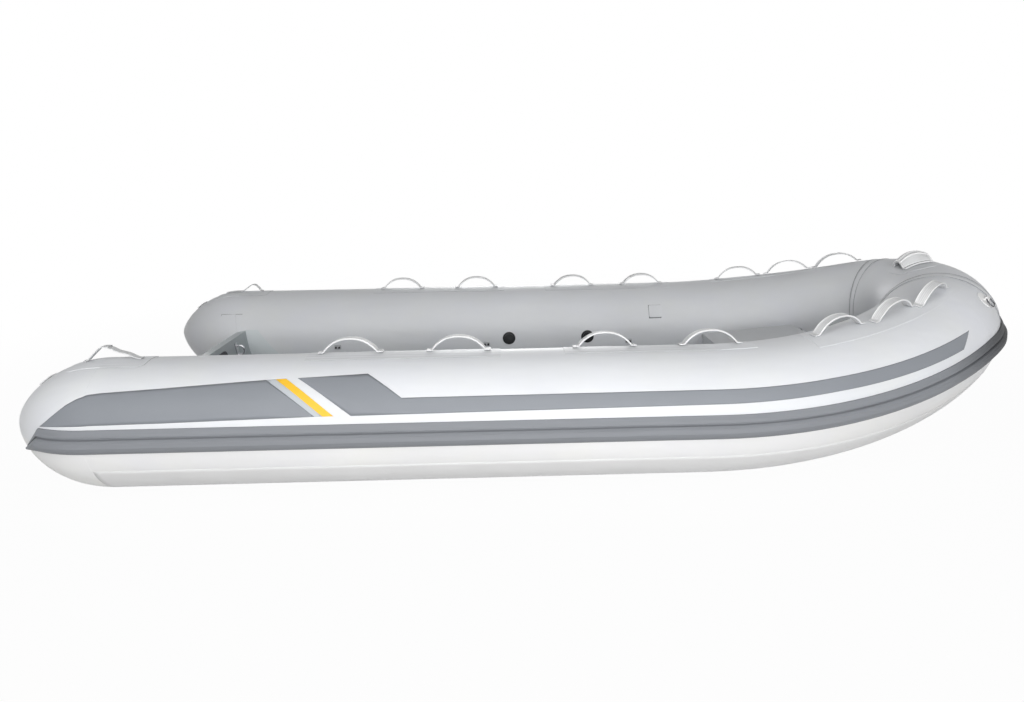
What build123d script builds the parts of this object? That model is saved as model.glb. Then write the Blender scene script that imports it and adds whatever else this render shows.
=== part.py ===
from build123d import *
import os
from math import acos, asin, atan2, cos, degrees, hypot, radians, sin, sqrt, tan

# Inflatable boat with a rigid hull.  +X is forward, +Y is port, +Z is up, and the origin lies
# amidships on the waterline.  Sizes are in millimetres.

# Buoyancy tubes: centreline is a straight run, a wide bend that climbs, and a tight bow bend.
tube_radius = 233
tube_spread = 1366          # across the boat, centre to centre of the straight tubes
tube_length = 3884          # cone tips to the front of the bow tube
tube_bottom = 10            # height of the straight tubes above the water
side_heading = 38           # degrees turned inboard by the wide bend
side_climb = 14             # degrees of climb at the end of the wide bend
bow_bend_radius = 415
seam_turn = 21.5            # degrees of the bow bend that belong to each side tube
cone_length = 332
cone_nose_radius = 29
cone_tip_rise = 20          # of the tip above the tube's axis
cone_overrun = 30           # of the cone's skin into the tube, trimmed off
skin_gap = 0.4              # between pieces that touch on curved faces

# Rubbing strake around the outside of the tubes
strake_height = 84
strake_depth = 24
strake_middle_turn = 3      # degrees above the tube's widest line
strake_aft = 178            # full section starts here, from the cone tip
strake_cap_length = 62      # taper aft of the full section
strake_tip_height = 24
strake_tip_depth = 12
strake_tip_drop = 24        # of the tip's middle below the tube's axis
strake_ease = 12            # of its bend round the cone, wider than the cone's

# Grab handles on top of the tubes: distance and clock angle (90 top, more inboard)
port_aft_handles = ((1203, 90), (1604, 90), (2126, 92), (2504, 92))             # from the cone tip
port_fore_handles = ((690, 88), (430, 84), (188, 80))                           # back from the seam
starboard_aft_handles = ((1187, 94), (1573, 94), (2101, 97), (2488, 97))        # from the cone tip
starboard_fore_handles = ((728, 88), (460, 84), (226, 80))                      # back from the seam
handle_span = 190
handle_leg_run = 46         # along the tube, under each sloping leg
handle_rise = 52
handle_width = 38
handle_strap = 4
handle_tab = 16
handle_seat_gap = 3         # under the flat ends, where the tube bends
patch_thickness = 1.5
patch_half_turn = 17        # degrees each side of the tube's top line
patch_overlap = 55          # past the handle centres, beyond half of the span
stern_patch_place = 348
stern_patch_size = (275, 138)
stern_handle_width = 26
stern_handle_strap = 3
starboard_loop_place = 346
starboard_loop = (190, 50)          # span and rise of the loop that leans aft
starboard_loop_runs = (54, 98)      # under its aft and forward legs
starboard_loop_tabs = (16, 16)
port_loop_place = 364
port_loop = (104, 44)               # span and rise of the loop that leans forward
port_loop_runs = (48, 34)
port_loop_tabs = (84, 16)

# Bow lifting handle, across the boat
bow_handle_span = 76
bow_handle_rise = 50
bow_handle_leg_run = 28
bow_handle_width = 138      # round the tube, across its feet
bow_handle_side_angle = 68  # of its sides, which draw in toward its top
bow_handle_drop = 12        # of its feet below the middle, where they follow the tube
bow_handle_strap = 7
strap_crown_share = 0.62    # of a sloping leg, for the bend at its top
strap_foot_share = 0.8      # of a flat tab, for the bend at its foot
bow_handle_turn = 105       # clock angle on the bow tube, 90 being the top
bow_pad_length = 240
bow_pad_width = 190

# Fittings on the tubes: distance from the cone tip and clock angle (0 outboard, 90 top)
valve_places = (1773, 2184)
valve_turn = 180
valve_radius = 33
valve_flange = 3
valve_cap_radius = 24
valve_depth = 10
clip_places = (878, 1655, 2401)
clip_turn = 187
clip_size = (34, 24)
clip_base = 3
clip_peg_radius = 5
clip_peg_spacing = 17
clip_depth = 14
fitting_pad_place = 1178    # back from the seam of the bow tube
fitting_pad_turn = 149
fitting_pad_size = 66
fitting_pad_depth = 4
ring_place = 61             # back from the seam of the bow tube
ring_turn = 45
ring_patch_radius = 36
ring_patch_depth = 2.5
ring_size = (44, 38)        # along the tube, down it, to the wire's middle
ring_wire = 5
ring_corner = 13
ring_bar_height = 10        # above the skin
ring_lug_size = (20, 16)
pin_clearance = 0.4
cone_tab_place = 101
cone_tab_size = (50, 40, 3)
transom_patch_size = (150, 120)
transom_patch_place = 344
transom_patch_turn = 156
gusset_turn = 186
gusset_top = 95             # above the gusset's clock line, and as far below it
gusset_top_run = 62         # forward of the transom's face, at its top
gusset_foot_run = 205
patch_corner = 24

# Hull and deck
transom_aft_foot = 406      # from the cone tips to the transom's aft face at the waterline
transom_rake = 8            # degrees, top aft
transom_thickness = 45
transom_top = 305           # above the water
motor_height = 508          # keel line to the transom's top
deck_height = 72
deck_thickness = 12
hull_skin = 25              # height through the hull's wall above the deck
keel_guard_width = 56
keel_guard_depth = 8
keel_guard_run = (596, 2226)
keel_line = transom_top - motor_height
hull_aft = 306              # from the cone tips, inside the transom's line
hull_stations = (
    # back from the bow's front; keel; chine out, up; side out, up; top
    (1608, keel_line, 520, -30, 600, 60, 110),
    (1158, keel_line + 20, 485, 5, 590, 90, 110),
    (858, keel_line + 105, 385, 45, 500, 130, 150),
    (608, 5, 265, 95, 390, 190, 200),
    (408, 130, 130, 165, 250, 250, 300),
    (268, 225, 40, 235, 110, 280, 350),
)

# Bow locker, its ends as distances back from the seam of the bow tube
locker_aft = 906
locker_forward = 411
locker_aft_height = 262
locker_front_height = 332
locker_wall = 12
locker_gap = 26             # between the locker and the tubes
lid_thickness = 18
lid_gap = 1                 # between the lid and the locker's rim
lid_overhang = 6
hinge_radius = 7
hinge_length = 70
hinge_pin_radius = 3
hinge_offset = 120          # from the centreline
latch_size = (5, 64, 34)    # thickness, width, height
catch_size = (5, 30, 16)
catch_drop = 8              # below the latch

# Transom fittings
outer_pad_size = (340, 230)
inner_pad_size = (320, 150)
pad_thickness = 6
pad_corner = 28
outer_pad_drop = 12         # below the transom's top
inner_pad_drop = 26
eye_offset = 290            # from the centreline
eye_drop = 62
eye_plate = (76, 30, 4)
eye_spacing = 44
eye_reach = 40
eye_wire = 8
drain_offset = 110
drain_height = -40
drain_radius = 24
drain_depth = 5
bow_eye_place = 508         # back from the bow's front
bow_eye_spacing = 60
bow_eye_reach = 44
bow_eye_wire = 10
bow_eye_plate = (96, 30, 4)
staple_corner_share = 0.4   # of the legs' spacing, for the bends of a U-shaped eye

# centreline
axis_height = tube_bottom + tube_radius
stern = -tube_length / 2
up = Vector(0, 0, 1)
heading, climb = radians(side_heading), radians(side_climb)
ahead = Vector(1, 0, 0)
bent = Vector(cos(climb) * cos(heading), -cos(climb) * sin(heading), sin(climb))
across = Vector(0, -1, 0)
bow_turn = acos(bent.dot(across))
bow_step = (bent + across) * (bow_bend_radius * tan(bow_turn / 2))
side_turn = acos(ahead.dot(bent))
side_chord = (ahead + bent) * tan(side_turn / 2)
side_bend_radius = (tube_spread / 2 + bow_step.Y) / -side_chord.Y
side_step = side_chord * side_bend_radius
bow_centre_x = stern + tube_length - tube_radius
bend_start = Vector(bow_centre_x - bow_step.X - side_step.X, tube_spread / 2, axis_height)
bend_end = bend_start + side_step
bow_top = bend_end + bow_step
straight_length = bend_start.X - stern
side_arc_length = side_bend_radius * side_turn


def arc_point(start, direction, target, radius, turn):
    """Point and direction after a turn along the arc that bends from direction towards target."""
    whole = acos(direction.dot(target))
    inward = (target - direction * cos(whole)) * (1 / sin(whole))
    point = start + (direction * sin(turn) + inward * (1 - cos(turn))) * radius
    return point, direction * cos(turn) + inward * sin(turn)


def centre(distance):
    """Centreline point and direction on the port side, from the cone tip forward."""
    if distance <= straight_length:
        return Vector(stern + distance, tube_spread / 2, axis_height), ahead
    if distance <= straight_length + side_arc_length:
        turn = (distance - straight_length) / side_bend_radius
        return arc_point(bend_start, ahead, bent, side_bend_radius, turn)
    turn = (distance - straight_length - side_arc_length) / bow_bend_radius
    return arc_point(bend_end, bent, across, bow_bend_radius, turn)


def skin_plane(distance, clock, height=0):
    """Plane on the port tube: x forward along it, z outward, at a height off the skin."""
    point, direction = centre(distance)
    rise = (up - direction * up.dot(direction)).normalized()
    outboard = rise.cross(direction)
    normal = outboard * cos(radians(clock)) + rise * sin(radians(clock))
    return Plane(point + normal * (tube_radius + height), x_dir=direction, z_dir=normal)


def path(first, last):
    """Centreline wire between two distances on the port side, split where its arcs meet."""
    joints = [d for d in (straight_length, straight_length + side_arc_length) if first < d < last]
    stops = [first] + joints + [last]
    edges = []
    for a, b in zip(stops, stops[1:]):
        if b <= straight_length:
            edges.append(Edge.make_line(centre(a)[0], centre(b)[0]))
        else:
            edges.append(Edge.make_three_point_arc(centre(a)[0], centre((a + b) / 2)[0], centre(b)[0]))
    return Wire(edges)


seam_distance = straight_length + side_arc_length + bow_bend_radius * radians(seam_turn)
bow_distance = straight_length + side_arc_length + bow_bend_radius * bow_turn


def handle_row(aft, fore):
    """Distance and clock angle of one side's handles, from aft forward."""
    return aft + tuple((seam_distance - back, turn) for back, turn in fore)


handle_rows = {
    "port": handle_row(port_aft_handles, port_fore_handles),
    "starboard": handle_row(starboard_aft_handles, starboard_fore_handles),
}


def on_side(shape, side):
    """A piece made for the port side, mirrored when it belongs to starboard."""
    return shape.mirror(Plane.XZ) if side == "starboard" else shape


def both(name, shape):
    """Keep a port piece and its mirror image."""
    nodes[name + "_port"] = shape
    nodes[name + "_starboard"] = on_side(shape, "starboard")


def upright_sweep(section, wire):
    """Sweep that keeps the section's upper side up all along the wire."""
    return sweep(section, wire, binormal=wire.translate((0, 0, tube_radius)))


def band(first, last, low, high, inner, outer):
    """Thin skin piece between two distances, two clock angles and two radii."""
    point, direction = centre(first)
    rise = (up - direction * up.dot(direction)).normalized()
    section = Plane(point, x_dir=rise.cross(direction), z_dir=direction)
    middle = (low + high) / 2
    with BuildSketch(section) as sketch:
        with BuildLine():
            arc = [(cos(radians(a)), sin(radians(a))) for a in (low, middle, high)]
            ThreePointArc(*[(inner * x, inner * y) for x, y in arc])
            Line((inner * arc[2][0], inner * arc[2][1]), (outer * arc[2][0], outer * arc[2][1]))
            ThreePointArc(*[(outer * x, outer * y) for x, y in reversed(arc)])
            Line((outer * arc[0][0], outer * arc[0][1]), (inner * arc[0][0], inner * arc[0][1]))
        make_face()
    return upright_sweep(sketch.sketch, path(first, last))


nodes = {}

# tubes and cones


def tube(wire, radius):
    """Round bar of a radius along a wire."""
    start = Plane(wire.position_at(0), z_dir=wire.tangent_at(0))
    return sweep(start * Circle(radius), wire)


both("side_tube", tube(path(cone_length, seam_distance), tube_radius))
bow_half = path(seam_distance, bow_distance).edges()
bow_wire = Wire(list(bow_half) + [edge.mirror(Plane.XZ) for edge in bow_half])
nodes["bow_tube"] = tube(bow_wire, tube_radius)

cone_tilt = asin(cone_tip_rise / cone_length)
cone_rise = tube_radius - cone_nose_radius
cone_bend = hypot(cone_length, cone_rise) ** 2 / (2 * cone_rise)    # radius of its curved outline


def cone_solid(grow):
    """Port aft cone, an arc turned about the tube's axis and tipped up, its skin grown outward."""
    join = (0, tube_radius + grow)
    nose = (-cone_length - grow, cone_nose_radius)
    end = (cone_overrun, tube_radius + grow)
    with BuildPart() as cone:
        with BuildSketch(Plane.XY):
            with BuildLine():
                TangentArc(join, nose, tangent=(-1, 0))
                Polyline(nose, (-cone_length - grow, 0), (cone_overrun, 0), end, join)
            make_face()
        revolve(axis=Axis.X)
    tipped = cone.part.rotate(Axis.Y, degrees(cone_tilt))
    tipped -= Pos(cone_length, 0, 0) * Box(2 * cone_length, 3 * tube_radius, 3 * tube_radius)
    return Pos(stern + cone_length, tube_spread / 2, axis_height) * tipped


def cone_lean(place):
    """Slope of the cone's outline at a distance from its tip."""
    return asin((cone_length - place) / cone_bend)


def cone_skin(place):
    """Radius of the cone's outline at a distance from its tip."""
    return tube_radius - cone_bend * (1 - cos(cone_lean(place)))


both("aft_cone", cone_solid(0))

# rubbing strake
# Outline outside the tube: share of the depth, share of the height from the middle
strake_outline = (
    (0.10, 0.50),
    (0.44, 0.31),
    (0.50, 0.22),
    (0.22, 0.19),
    (0.22, 0.14),
    (0.66, 0.11),
    (0.98, 0.02),
    (1.00, -0.18),
    (0.70, -0.33),
    (0.20, -0.46),
    (-0.04, -0.50),
)


def strake_point(depth, height):
    """Section point across the tube for a depth beyond the skin and a height on the strake."""
    turn = radians(strake_middle_turn)
    reach = tube_radius + skin_gap + depth
    return reach * cos(turn) - height * sin(turn), reach * sin(turn) + height * cos(turn)


def strake_rim():
    """Outer points of the strake's section, from its top edge down."""
    return [strake_point(d * strake_depth, h * strake_height) for d, h in strake_outline]


def strake_seat(height):
    """Point of the tube's outer skin at a height on the strake."""
    seat = tube_radius + skin_gap
    return strake_point(sqrt(seat**2 - height**2) - seat, height)



def strake_line(place):
    """Point and direction of the strake's line, which follows the cone round at the stern."""
    if place >= cone_length:
        return centre(place)
    lean, turn_radius = cone_lean(place), cone_bend - tube_radius + strake_ease
    back, inward = turn_radius * sin(lean), turn_radius * (1 - cos(lean))
    return centre(cone_length)[0] - Vector(back, inward, 0), Vector(cos(lean), sin(lean), 0)


def strake_plane(place):
    """Section plane across the port strake, its x outboard."""
    point, direction = strake_line(place)
    return Plane(point, x_dir=direction.cross(up) * -1, z_dir=direction)


def strake_arc(first, last):
    """Edge of the strake's line along the cone."""
    stops = (first, (first + last) / 2, last)
    return Edge.make_three_point_arc(*[strake_line(place)[0] for place in stops])


half_edges = [strake_arc(strake_aft, cone_length)] + list(path(cone_length, bow_distance).edges())
strake_path = Wire(half_edges + [edge.mirror(Plane.XZ) for edge in half_edges])
with BuildSketch(strake_plane(strake_aft)) as strake_sketch:
    with BuildLine():
        foot, waist, head = (strake_seat(h * strake_height) for h in (-0.5, 0, 0.5))
        Polyline(head, *strake_rim(), foot)
        ThreePointArc(foot, waist, head)
    make_face()
nodes["rub_strake"] = upright_sweep(strake_sketch.sketch, strake_path)

tip_seat = tube_radius - strake_depth
tip_level = [h * strake_tip_height - strake_tip_drop for d, h in strake_outline]
tip_reach = [tube_radius + d * strake_tip_depth for d, h in strake_outline]
tip_rim = list(zip(tip_reach, tip_level))
tip_back = [(tip_seat, h * strake_tip_height - strake_tip_drop) for h in (-0.5, 0.5)]
full_back = [(tip_seat, strake_seat(h * strake_height)[1]) for h in (-0.5, 0.5)]
tip_place = strake_aft - strake_cap_length
with BuildPart() as strake_cap:
    for place, outline in ((strake_aft, strake_rim() + full_back), (tip_place, tip_rim + tip_back)):
        with BuildSketch(strake_plane(place)):
            with BuildLine():
                Polyline(*outline, close=True)
            make_face()
    loft(ruled=True)
both("strake_cap", strake_cap.part - cone_solid(skin_gap))

# handles


def strap(span, rise, width, thickness, runs, tabs, bend=None):
    """Bowed strap with flat tabs; x along it, its underside on z = 0, bent across if asked."""
    half, climb_height = thickness / 2, rise - thickness
    crown_ends = (-span / 2 + runs[0], span / 2 - runs[1])
    crown_half = (crown_ends[1] - crown_ends[0] - thickness) / 2
    turns = [atan2(climb_height, run) for run in runs]
    flanks = [hypot(climb_height, run) for run in runs]
    crowns = [min(strap_crown_share * flank, crown_half) for flank in flanks]
    spare = [flank - crown - thickness for flank, crown in zip(flanks, crowns)]
    feet = [min(strap_foot_share * tab, room) for tab, room in zip(tabs, spare)]
    bends = [feet[0], crowns[0], crowns[1], feet[1]]
    line = FilletPolyline(
        (-span / 2 - tabs[0], half),
        (-span / 2, half),
        (crown_ends[0], rise - half),
        (crown_ends[1], rise - half),
        (span / 2, half),
        (span / 2 + tabs[1], half),
        radius=[bend / tan(turns[n // 2] / 2) for n, bend in enumerate(bends)],
    )
    face = Plane.XZ * trace(line, line_width=thickness)
    if bend is None:
        return extrude(face, width / 2, both=True)
    bend_line = Axis((0, 0, -bend), (1, 0, 0))
    half_turn = degrees(width / 2 / bend)
    return revolve(face.rotate(bend_line, -half_turn), bend_line, 2 * half_turn)


seat_height = patch_thickness + handle_seat_gap
legs, tabs = (handle_leg_run, handle_leg_run), (handle_tab, handle_tab)
handle = strap(handle_span, handle_rise, handle_width, handle_strap, legs, tabs)
for side, row in handle_rows.items():
    for number, (place, turn) in enumerate(row, start=1):
        seated = skin_plane(place, turn, seat_height).location * handle
        nodes[f"handle_{number}_{side}"] = on_side(seated, side)

port_seat = skin_plane(port_loop_place, 90, seat_height).location
starboard_seat = skin_plane(starboard_loop_place, 90, seat_height).location
webbing = (stern_handle_width, stern_handle_strap)
port_strap = strap(*port_loop, *webbing, port_loop_runs, port_loop_tabs)
nodes["stern_handle_port"] = port_seat * port_strap
starboard_strap = strap(*starboard_loop, *webbing, starboard_loop_runs, starboard_loop_tabs)
nodes["stern_handle_starboard"] = (starboard_seat * starboard_strap).mirror(Plane.XZ)

reach = handle_span / 2 + patch_overlap
patch_inner = tube_radius + skin_gap
patch_outer = patch_inner + patch_thickness


def patch_row(row):
    """Reinforcing patches under one side's handles."""
    patches = []
    for group in (row[0:2], row[2:4], row[4:7]):
        turn = sum(turn for place, turn in group) / len(group)
        run = (group[0][0] - reach, group[-1][0] + reach)
        turns = (turn - patch_half_turn, turn + patch_half_turn)
        patches.append(band(*run, *turns, patch_inner, patch_outer))
    return patches


# fittings on the tubes
side_wire = path(cone_length / 2, seam_distance)
side_cut = tube(side_wire, tube_radius + skin_gap)
aft_wire = path(cone_length, transom_aft_foot + cone_length)


def fitted(shape, plane, depth, wire):
    """Plan shape laid on the tube as a skin of a depth."""
    block = plane.location * extrude(shape, tube_radius / 3, both=True)
    outer = tube(wire, tube_radius + skin_gap + depth)
    return (block & outer) - tube(wire, tube_radius + skin_gap)


def fitted_aft(shape, plane, depth):
    """Plan shape laid over the end of the tube and its cone, as a skin of a depth on each."""
    block = plane.location * extrude(shape, tube_radius / 3, both=True)
    over_tube = tube(aft_wire, tube_radius + skin_gap + depth)
    on_tube = (block & over_tube) - tube(aft_wire, tube_radius + skin_gap)
    on_cone = (block & cone_solid(skin_gap + depth)) - cone_solid(skin_gap)
    return [on_tube, on_cone]


stern_patch = RectangleRounded(*stern_patch_size, patch_corner)
stern_patches = fitted_aft(stern_patch, skin_plane(stern_patch_place, 90), patch_thickness)
for side, row in handle_rows.items():
    nodes["handle_patches_" + side] = on_side(Compound(patch_row(row) + stern_patches), side)

bow_seat = skin_plane(bow_distance, bow_handle_turn)
pad_shape = SlotOverall(bow_pad_length, bow_pad_width)
nodes["bow_handle_pad"] = fitted(pad_shape, bow_seat, patch_thickness, bow_wire)
legs = (bow_handle_leg_run, bow_handle_leg_run)
bow_lift = patch_thickness + handle_seat_gap
bow_sizes = (bow_handle_span, bow_handle_rise, bow_handle_width, bow_handle_strap)
bow_handle = strap(*bow_sizes, legs, tabs, tube_radius + bow_lift)
taper = Trapezoid(bow_handle_width, bow_handle_rise + bow_handle_drop, bow_handle_side_angle)
taper_middle = (bow_handle_rise - bow_handle_drop) / 2
bow_handle &= extrude(Plane.YZ * Pos(0, taper_middle) * taper, bow_handle_span, both=True)
nodes["bow_lifting_handle"] = skin_plane(bow_distance, bow_handle_turn, bow_lift).location * bow_handle

valves = []
for place in valve_places:
    seat = skin_plane(place, valve_turn)
    cap_height = valve_depth - valve_flange / 2
    cap = Pos(0, 0, valve_depth - cap_height / 2) * Cylinder(valve_cap_radius, cap_height)
    valves.append(fitted(Circle(valve_radius), seat, valve_flange, side_wire) + seat.location * cap)
both("valves", Compound(valves))

clips = []
for place in clip_places:
    seat = skin_plane(place, clip_turn)
    clip = fitted(RectangleRounded(*clip_size, clip_base), seat, clip_base, side_wire)
    for side in (-1, 1):
        peg = Pos(side * clip_peg_spacing / 2, 0, (clip_depth + clip_base / 2) / 2)
        clip += seat.location * peg * Cylinder(clip_peg_radius, clip_depth - clip_base / 2)
    clips.append(clip)
both("rope_clips", Compound(clips))

pad_seat = skin_plane(seam_distance - fitting_pad_place, fitting_pad_turn)
square = RectangleRounded(fitting_pad_size, fitting_pad_size, patch_corner / 3)
both("fitting_pad", fitted(square, pad_seat, fitting_pad_depth, side_wire))

ring_seat = skin_plane(seam_distance - ring_place, ring_turn)
ring_patch = fitted(Circle(ring_patch_radius), ring_seat, ring_patch_depth, side_wire)
lug_height = ring_bar_height + ring_wire
lug = Pos(0, 0, lug_height / 2 + skin_gap) * Box(*ring_lug_size, lug_height)
bore = Cylinder(ring_wire / 2 + pin_clearance, ring_size[0])
lug -= Pos(0, 0, ring_bar_height) * Rot(0, 90, 0) * bore
both("bow_ring_lug", ring_patch + ring_seat.location * lug - side_cut)
ring_line = Pos(0, ring_size[1] / 2, ring_bar_height) * RectangleRounded(*ring_size, ring_corner)
ring_wire_path = ring_line.wire()
ring_start = Plane(ring_wire_path.position_at(0), z_dir=ring_wire_path.tangent_at(0))
both("bow_ring", ring_seat.location * sweep(ring_start * Circle(ring_wire / 2), ring_wire_path))

tab_lean = cone_lean(cone_tab_place) - cone_tilt
tab_back, tab_radius = cone_length - cone_tab_place, cone_skin(cone_tab_place)
tab_x = stern + cone_length - tab_back * cos(cone_tilt) + tab_radius * sin(cone_tilt)
tab_z = axis_height + tab_back * sin(cone_tilt) + tab_radius * cos(cone_tilt)
tab_seat = Plane(
    (tab_x, tube_spread / 2, tab_z),
    x_dir=(cos(tab_lean), 0, sin(tab_lean)),
    z_dir=(-sin(tab_lean), 0, cos(tab_lean)),
)
tab = Pos(0, 0, skin_gap + cone_tab_size[2] / 2) * Box(*cone_tab_size)
both("cone_tab", tab_seat.location * tab)

# hull, deck and transom
tubes_cut = [side_cut, side_cut.mirror(Plane.XZ), tube(bow_wire, tube_radius + skin_gap)]


def hull_section(back, keel, chine_out, chine_up, side_out, side_up, top):
    """Hull outline across the boat at a distance back from the bow's front."""
    half = [(chine_out, chine_up), (side_out, side_up), (side_out, top)]
    points = [(0, keel)] + half + [(-out, rise) for out, rise in reversed(half)]
    section = Plane((stern + tube_length - back, 0, 0), x_dir=(0, 1, 0), z_dir=(1, 0, 0))
    return section * make_face(Polyline(*points, close=True))


def slab(low, high):
    """Block over the whole boat between two heights."""
    return Pos(0, 0, (low + high) / 2) * Box(2 * tube_length, 2 * tube_spread, high - low)


rake = radians(transom_rake)
transom_face = Plane(
    (stern + transom_aft_foot, 0, 0), x_dir=(0, -1, 0), z_dir=(-cos(rake), 0, -sin(rake))
)
transom_inside = transom_face.offset(-transom_thickness)
sheet = Rectangle(2 * tube_spread, 2 * tube_spread)
aft_space = transom_face * extrude(sheet, tube_spread)
hull_top = deck_height - deck_thickness
aft_station = (tube_length - hull_aft,) + hull_stations[0][1:]
envelope = loft([hull_section(*row) for row in (aft_station,) + hull_stations], ruled=True)
inside = Pos(0, 0, hull_skin) * envelope
nodes["hull"] = envelope - aft_space - (inside & slab(hull_top, tube_spread)) - tubes_cut
deck = inside & slab(hull_top, deck_height)
nodes["deck"] = deck - transom_inside * extrude(sheet, tube_spread) - tubes_cut

board_shape = Pos(0, transom_top / cos(rake) - tube_spread / 2, 0) * Rectangle(tube_spread, tube_spread)
board = transom_inside * extrude(board_shape, transom_thickness)
nodes["transom"] = board - slab(-tube_spread, hull_top) - tubes_cut

guard_height = keel_guard_depth + keel_guard_width / 2
guard = Pos(
    stern + sum(keel_guard_run) / 2, 0, keel_line - keel_guard_depth + guard_height / 2
) * Box(keel_guard_run[1] - keel_guard_run[0], keel_guard_width, guard_height)
nodes["keel_guard"] = guard - envelope

# Flange patch aft of the board, and a gusset that runs forward from it down the tube's inner side
flange = RectangleRounded(*transom_patch_size, patch_corner)
flange_seat = skin_plane(transom_patch_place, transom_patch_turn)
transom_patch = Compound(fitted_aft(flange, flange_seat, patch_thickness))
gusset_seat = skin_plane(transom_aft_foot + transom_thickness, gusset_turn)
gusset_outline = (
    (-transom_thickness, gusset_top),
    (gusset_top_run - transom_thickness, gusset_top),
    (gusset_foot_run - transom_thickness, -gusset_top),
    (-transom_thickness, -gusset_top),
)
gusset = fitted(make_face(Polyline(*gusset_outline, close=True)), gusset_seat, patch_thickness, side_wire)
board_space = transom_inside * extrude(sheet, transom_thickness)
aft_of_board = transom_inside * extrude(sheet, tube_spread)
both("transom_patch", transom_patch & aft_of_board - board_space)
both("transom_gusset", gusset - aft_of_board)


def transom_pad(size, drop, plane):
    """Board pad with rounded corners, its top edge a drop below the transom's top."""
    width, height = size
    middle = transom_top / cos(rake) - drop - height / 2
    return plane * extrude(Pos(0, middle) * RectangleRounded(width, height, pad_corner), pad_thickness)


nodes["motor_pad_outer"] = transom_pad(outer_pad_size, outer_pad_drop, transom_face)
inside_face = Plane(transom_inside.origin, x_dir=(0, 1, 0), z_dir=-transom_inside.z_dir)
nodes["motor_pad_inner"] = transom_pad(inner_pad_size, inner_pad_drop, inside_face)


def staple(spacing, reach, wire, plate):
    """U-shaped eye on a plate; its legs are spaced along x and it stands along z."""
    half, crest = spacing / 2, reach - wire / 2
    corners = ((-half, 0, 0), (-half, 0, crest), (half, 0, crest), (half, 0, 0))
    line = FilletPolyline(*corners, radius=spacing * staple_corner_share)
    rod = sweep(Pos(-half, 0, 0) * Circle(wire / 2), line)
    return rod + Pos(0, 0, plate[2] / 2) * Box(*plate)


eye = Rot(0, 0, 90) * staple(eye_spacing, eye_reach, eye_wire, eye_plate)
eye_height = transom_top / cos(rake) - eye_drop
eyes = [inside_face.location * Pos(side * eye_offset, eye_height, 0) * eye for side in (-1, 1)]
nodes["lifting_eyes"] = Compound(eyes)

drain_seat = transom_face.location * Pos(drain_offset, drain_height, 0)
drain = Pos(0, 0, drain_depth / 2) * Cylinder(drain_radius, drain_depth)
knob = Pos(0, 0, drain_depth * 3 / 2) * Cylinder(drain_radius / 2, drain_depth)
nodes["drain_plug"] = drain_seat * (drain + knob)

aft_row = [row for row in hull_stations if row[0] >= bow_eye_place][-1]
fore_row = hull_stations[hull_stations.index(aft_row) + 1]
stem_lean = atan2(fore_row[1] - aft_row[1], aft_row[0] - fore_row[0])
stem_height = aft_row[1] + (aft_row[0] - bow_eye_place) * tan(stem_lean)
stem_seat = Plane(
    (stern + tube_length - bow_eye_place, 0, stem_height),
    x_dir=(cos(stem_lean), 0, sin(stem_lean)),
    z_dir=(sin(stem_lean), 0, -cos(stem_lean)),
)
bow_eye = staple(bow_eye_spacing, bow_eye_reach, bow_eye_wire, bow_eye_plate)
nodes["bow_eye"] = stem_seat.location * bow_eye

# bow locker
aft_corner = skin_plane(seam_distance - locker_aft, 180).origin
fore_corner = skin_plane(seam_distance - locker_forward, 180).origin
aft_half, fore_half = aft_corner.Y - locker_gap, fore_corner.Y - locker_gap
aft_x, fore_x = aft_corner.X, fore_corner.X
lid_slope = atan2(locker_front_height - locker_aft_height, fore_x - aft_x)
lid_plane = Plane(
    (fore_x, 0, locker_front_height),
    x_dir=(cos(lid_slope), 0, sin(lid_slope)),
    z_dir=(-sin(lid_slope), 0, cos(lid_slope)),
)


def locker_plan(overhang, inset):
    """Plan of the locker, longer aft by an overhang and smaller all round by an inset."""
    corners = [(aft_x, aft_half), (fore_x, fore_half), (fore_x, -fore_half), (aft_x, -aft_half)]
    plan = make_face(Polyline(*corners, close=True))
    if inset:
        plan = offset(plan, -inset, kind=Kind.INTERSECTION)
    if overhang:
        strip = Pos(aft_x - overhang / 2, 0) * Rectangle(overhang, 2 * aft_half)
        plan = plan + strip
    return plan


def under_slope(drop):
    """Everything below the lid's top by a drop."""
    return lid_plane.offset(-drop) * extrude(sheet, -tube_spread)


rim_drop = lid_thickness + lid_gap
walls = extrude(Pos(0, 0, deck_height) * locker_plan(0, 0), tube_spread)
room = extrude(Pos(0, 0, deck_height) * locker_plan(0, locker_wall), tube_spread)
nodes["bow_locker"] = ((walls - room) & under_slope(rim_drop)) - nodes["hull"]
lid_block = extrude(Pos(0, 0, deck_height) * locker_plan(lid_overhang, 0), tube_spread)
nodes["locker_lid"] = (lid_block & under_slope(0)) - under_slope(lid_thickness)

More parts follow.
